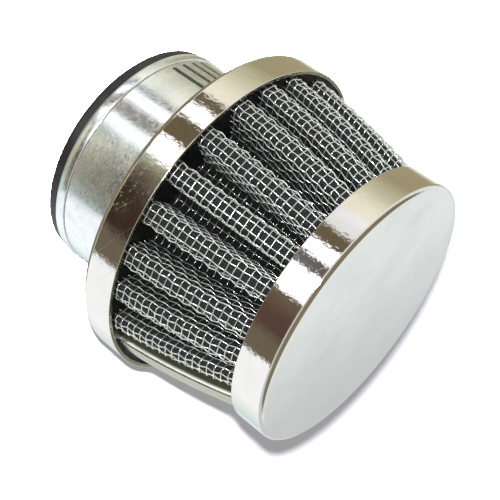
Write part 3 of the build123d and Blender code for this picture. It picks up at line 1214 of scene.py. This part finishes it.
# Each band has the degrees where it starts and ends, and its colour. Between bands the colour blends.
neck_ring = [
    (0, 70, WHITE_TABLE),
    (110, 110, PALE_GREY),
    (140, 178, STONE),
    (205, 211, (0.60, 0.60, 0.57)),
    (213, 220, SLATE),
    (222, 233, WINDOW),
    (235, 251, TAUPE),
    (253, 257, WINDOW),
    (259, 266, FROST),
    (271, 271, SLATE),
    (274, 274, (0.60, 0.60, 0.46)),
    (288, 288, (0.50, 0.49, 0.36)),
    (302, 302, (0.36, 0.35, 0.23)),
    (325, 325, (0.26, 0.25, 0.18)),
    (333, 333, (0.34, 0.42, 0.40)),
    (348, 348, (0.32, 0.42, 0.41)),
    (349, 351, SLATE),
    (352, 352, WHITE_TABLE),
]
low_ring = [
    (0, 38, WHITE_TABLE),
    (70, 70, PALE_GREY),
    (113, 113, (0.47, 0.50, 0.40)),
    (120, 164, KHAKI),
    (184, 184, SAND),
    (204, 210, CREAM),
    (212, 219, OLIVE),
    (221, 231, WINDOW),
    (233, 249, OLIVE),
    (251, 264, WINDOW),
    (267, 267, (0.27, 0.27, 0.19)),
    (276, 276, WOOD),
    (290, 316, BROWN),
    (325, 341, WOOD),
    (344, 344, WHITE_TABLE),
]
high_ring = [
    (0, 28, WHITE_TABLE),
    (59, 59, PALE_GREY),
    (90, 116, WHITE_TABLE),
    (127, 162, KHAKI),
    (184, 184, SAND),
    (200, 209, CREAM),
    (213, 213, (0.62, 0.61, 0.64)),
    (228, 228, (0.52, 0.52, 0.50)),
    (231, 242, OLIVE),
    (244, 254, WINDOW),
    (256, 264, (0.09, 0.085, 0.08)),
    (266, 287, WINDOW),
    (289, 289, WOOD),
    (306, 316, (0.065, 0.038, 0.028)),
    (325, 340, WOOD),
    (343, 343, WHITE_TABLE),
]


def compass_ring(tree, whole_turn, bands):
    """The colour of the room in a direction, from the bands round the compass."""
    ramp_node = add_node(tree, "ShaderNodeValToRGB", links={"Fac": whole_turn})
    elements = ramp_node.color_ramp.elements
    edges = []
    for start, end, colour in bands:
        edges += [(degrees_round, colour) for degrees_round in sorted({start, end})]
    while len(elements) < len(edges):
        elements.new(0.5)
    for element, (degrees_round, colour) in zip(elements, edges):
        element.position = degrees_round / 360.0
        element.color = (*colour, 1.0)
    return ramp_node.outputs["Color"]


world = bpy.data.worlds.new("studio_room")
bpy.context.scene.world = world
world.use_nodes = True
tree = world.node_tree
tree.nodes.clear()
direction = add_node(tree, "ShaderNodeTexCoord")
parts = add_node(tree, "ShaderNodeSeparateXYZ", links={"Vector": direction.outputs["Generated"]})
compass = math_node(tree, "ARCTAN2", parts.outputs["Y"], parts.outputs["X"])
turns = math_node(tree, "ADD", math_node(tree, "DIVIDE", compass, tau), 1.0)
whole_turn = math_node(tree, "FRACT", turns)
ring_share = value_range(tree, parts.outputs["Z"], -0.46, -0.40, 0.0, 1.0)
low_colour = compass_ring(tree, whole_turn, low_ring)
high_colour = compass_ring(tree, whole_turn, high_ring)
cap_walls = blend_colors(tree, ring_share, low_colour, high_colour)
neck_share = value_range(tree, parts.outputs["Z"], -0.566, -0.558, 1.0, 0.0)
walls = blend_colors(tree, neck_share, cap_walls, compass_ring(tree, whole_turn, neck_ring))
height_share = value_range(tree, parts.outputs["Z"], -0.12, 0.16, 0.0, 1.0)
sideways = math_node(tree, "MULTIPLY", parts.outputs["X"], -0.3)
ceiling_share = value_range(
    tree, math_node(tree, "ADD", parts.outputs["Z"], sideways), 0.26, 0.33, 0.0, 1.0
)
ceiling = blend_colors(tree, ceiling_share, (0.375, 0.395, 0.395), (0.52, 0.545, 0.545))
sides = blend_colors(tree, height_share, walls, ceiling)
up_share = value_range(tree, parts.outputs["Z"], 0.46, 0.56, 0.0, 1.0)
down_share = value_range(tree, parts.outputs["Z"], -0.74, -0.64, 1.0, 0.0)
pole_share = math_node(tree, "MAXIMUM", up_share, down_share)
room = blend_colors(tree, pole_share, sides, (0.15, 0.12, 0.075))
lit = add_node(tree, "ShaderNodeBackground", links={"Color": room}, Strength=ROOM_STRENGTH)
plain = add_node(tree, "ShaderNodeBackground", Color=(1.0, 1.0, 1.0, 1.0), Strength=1.0)
split_rays(tree, plain, lit, "ShaderNodeOutputWorld")
print("bands in the room:", len(neck_ring) + len(low_ring) + len(high_ring))

# %% Lamps
LAMP_RIGHT = radians(-2.2)
LAMP_UP = radians(1.6)
view_turn = camera.rotation_euler.to_matrix()
lamp_data = bpy.data.lights.new("camera_lamp", "SUN")
lamp_data.energy = 2.6
lamp_data.angle = radians(8.0)
camera_lamp = new_object("camera_lamp", lamp_data)
toward_lamp = view_turn @ Vector((sin(LAMP_RIGHT), sin(LAMP_UP), 1.0)).normalized()
camera_lamp.rotation_mode = "QUATERNION"
camera_lamp.rotation_quaternion = toward_lamp.to_track_quat("Z", "Y")
shadow_data = bpy.data.lights.new("shadow_lamp", "POINT")
shadow_data.energy = 115.0
shadow_data.shadow_soft_size = 3.6 * MM
shadow_lamp = new_object("shadow_lamp", shadow_data)
shadow_lamp.location = camera.location + view_turn @ Vector((0.8 * MM, 7.8 * MM, 0.0))
floor_only = bpy.data.collections.new("floor_only")
floor_only.objects.link(floor)
shadow_lamp.light_linking.receiver_collection = floor_only
print("lamps:", camera_lamp.name, shadow_lamp.name)

# %% [markdown]
# ## Colour management
# Standard keeps colours about as written.

# %% Finish
bpy.context.scene.view_settings.view_transform = "Standard"
bpy.context.view_layer.update()
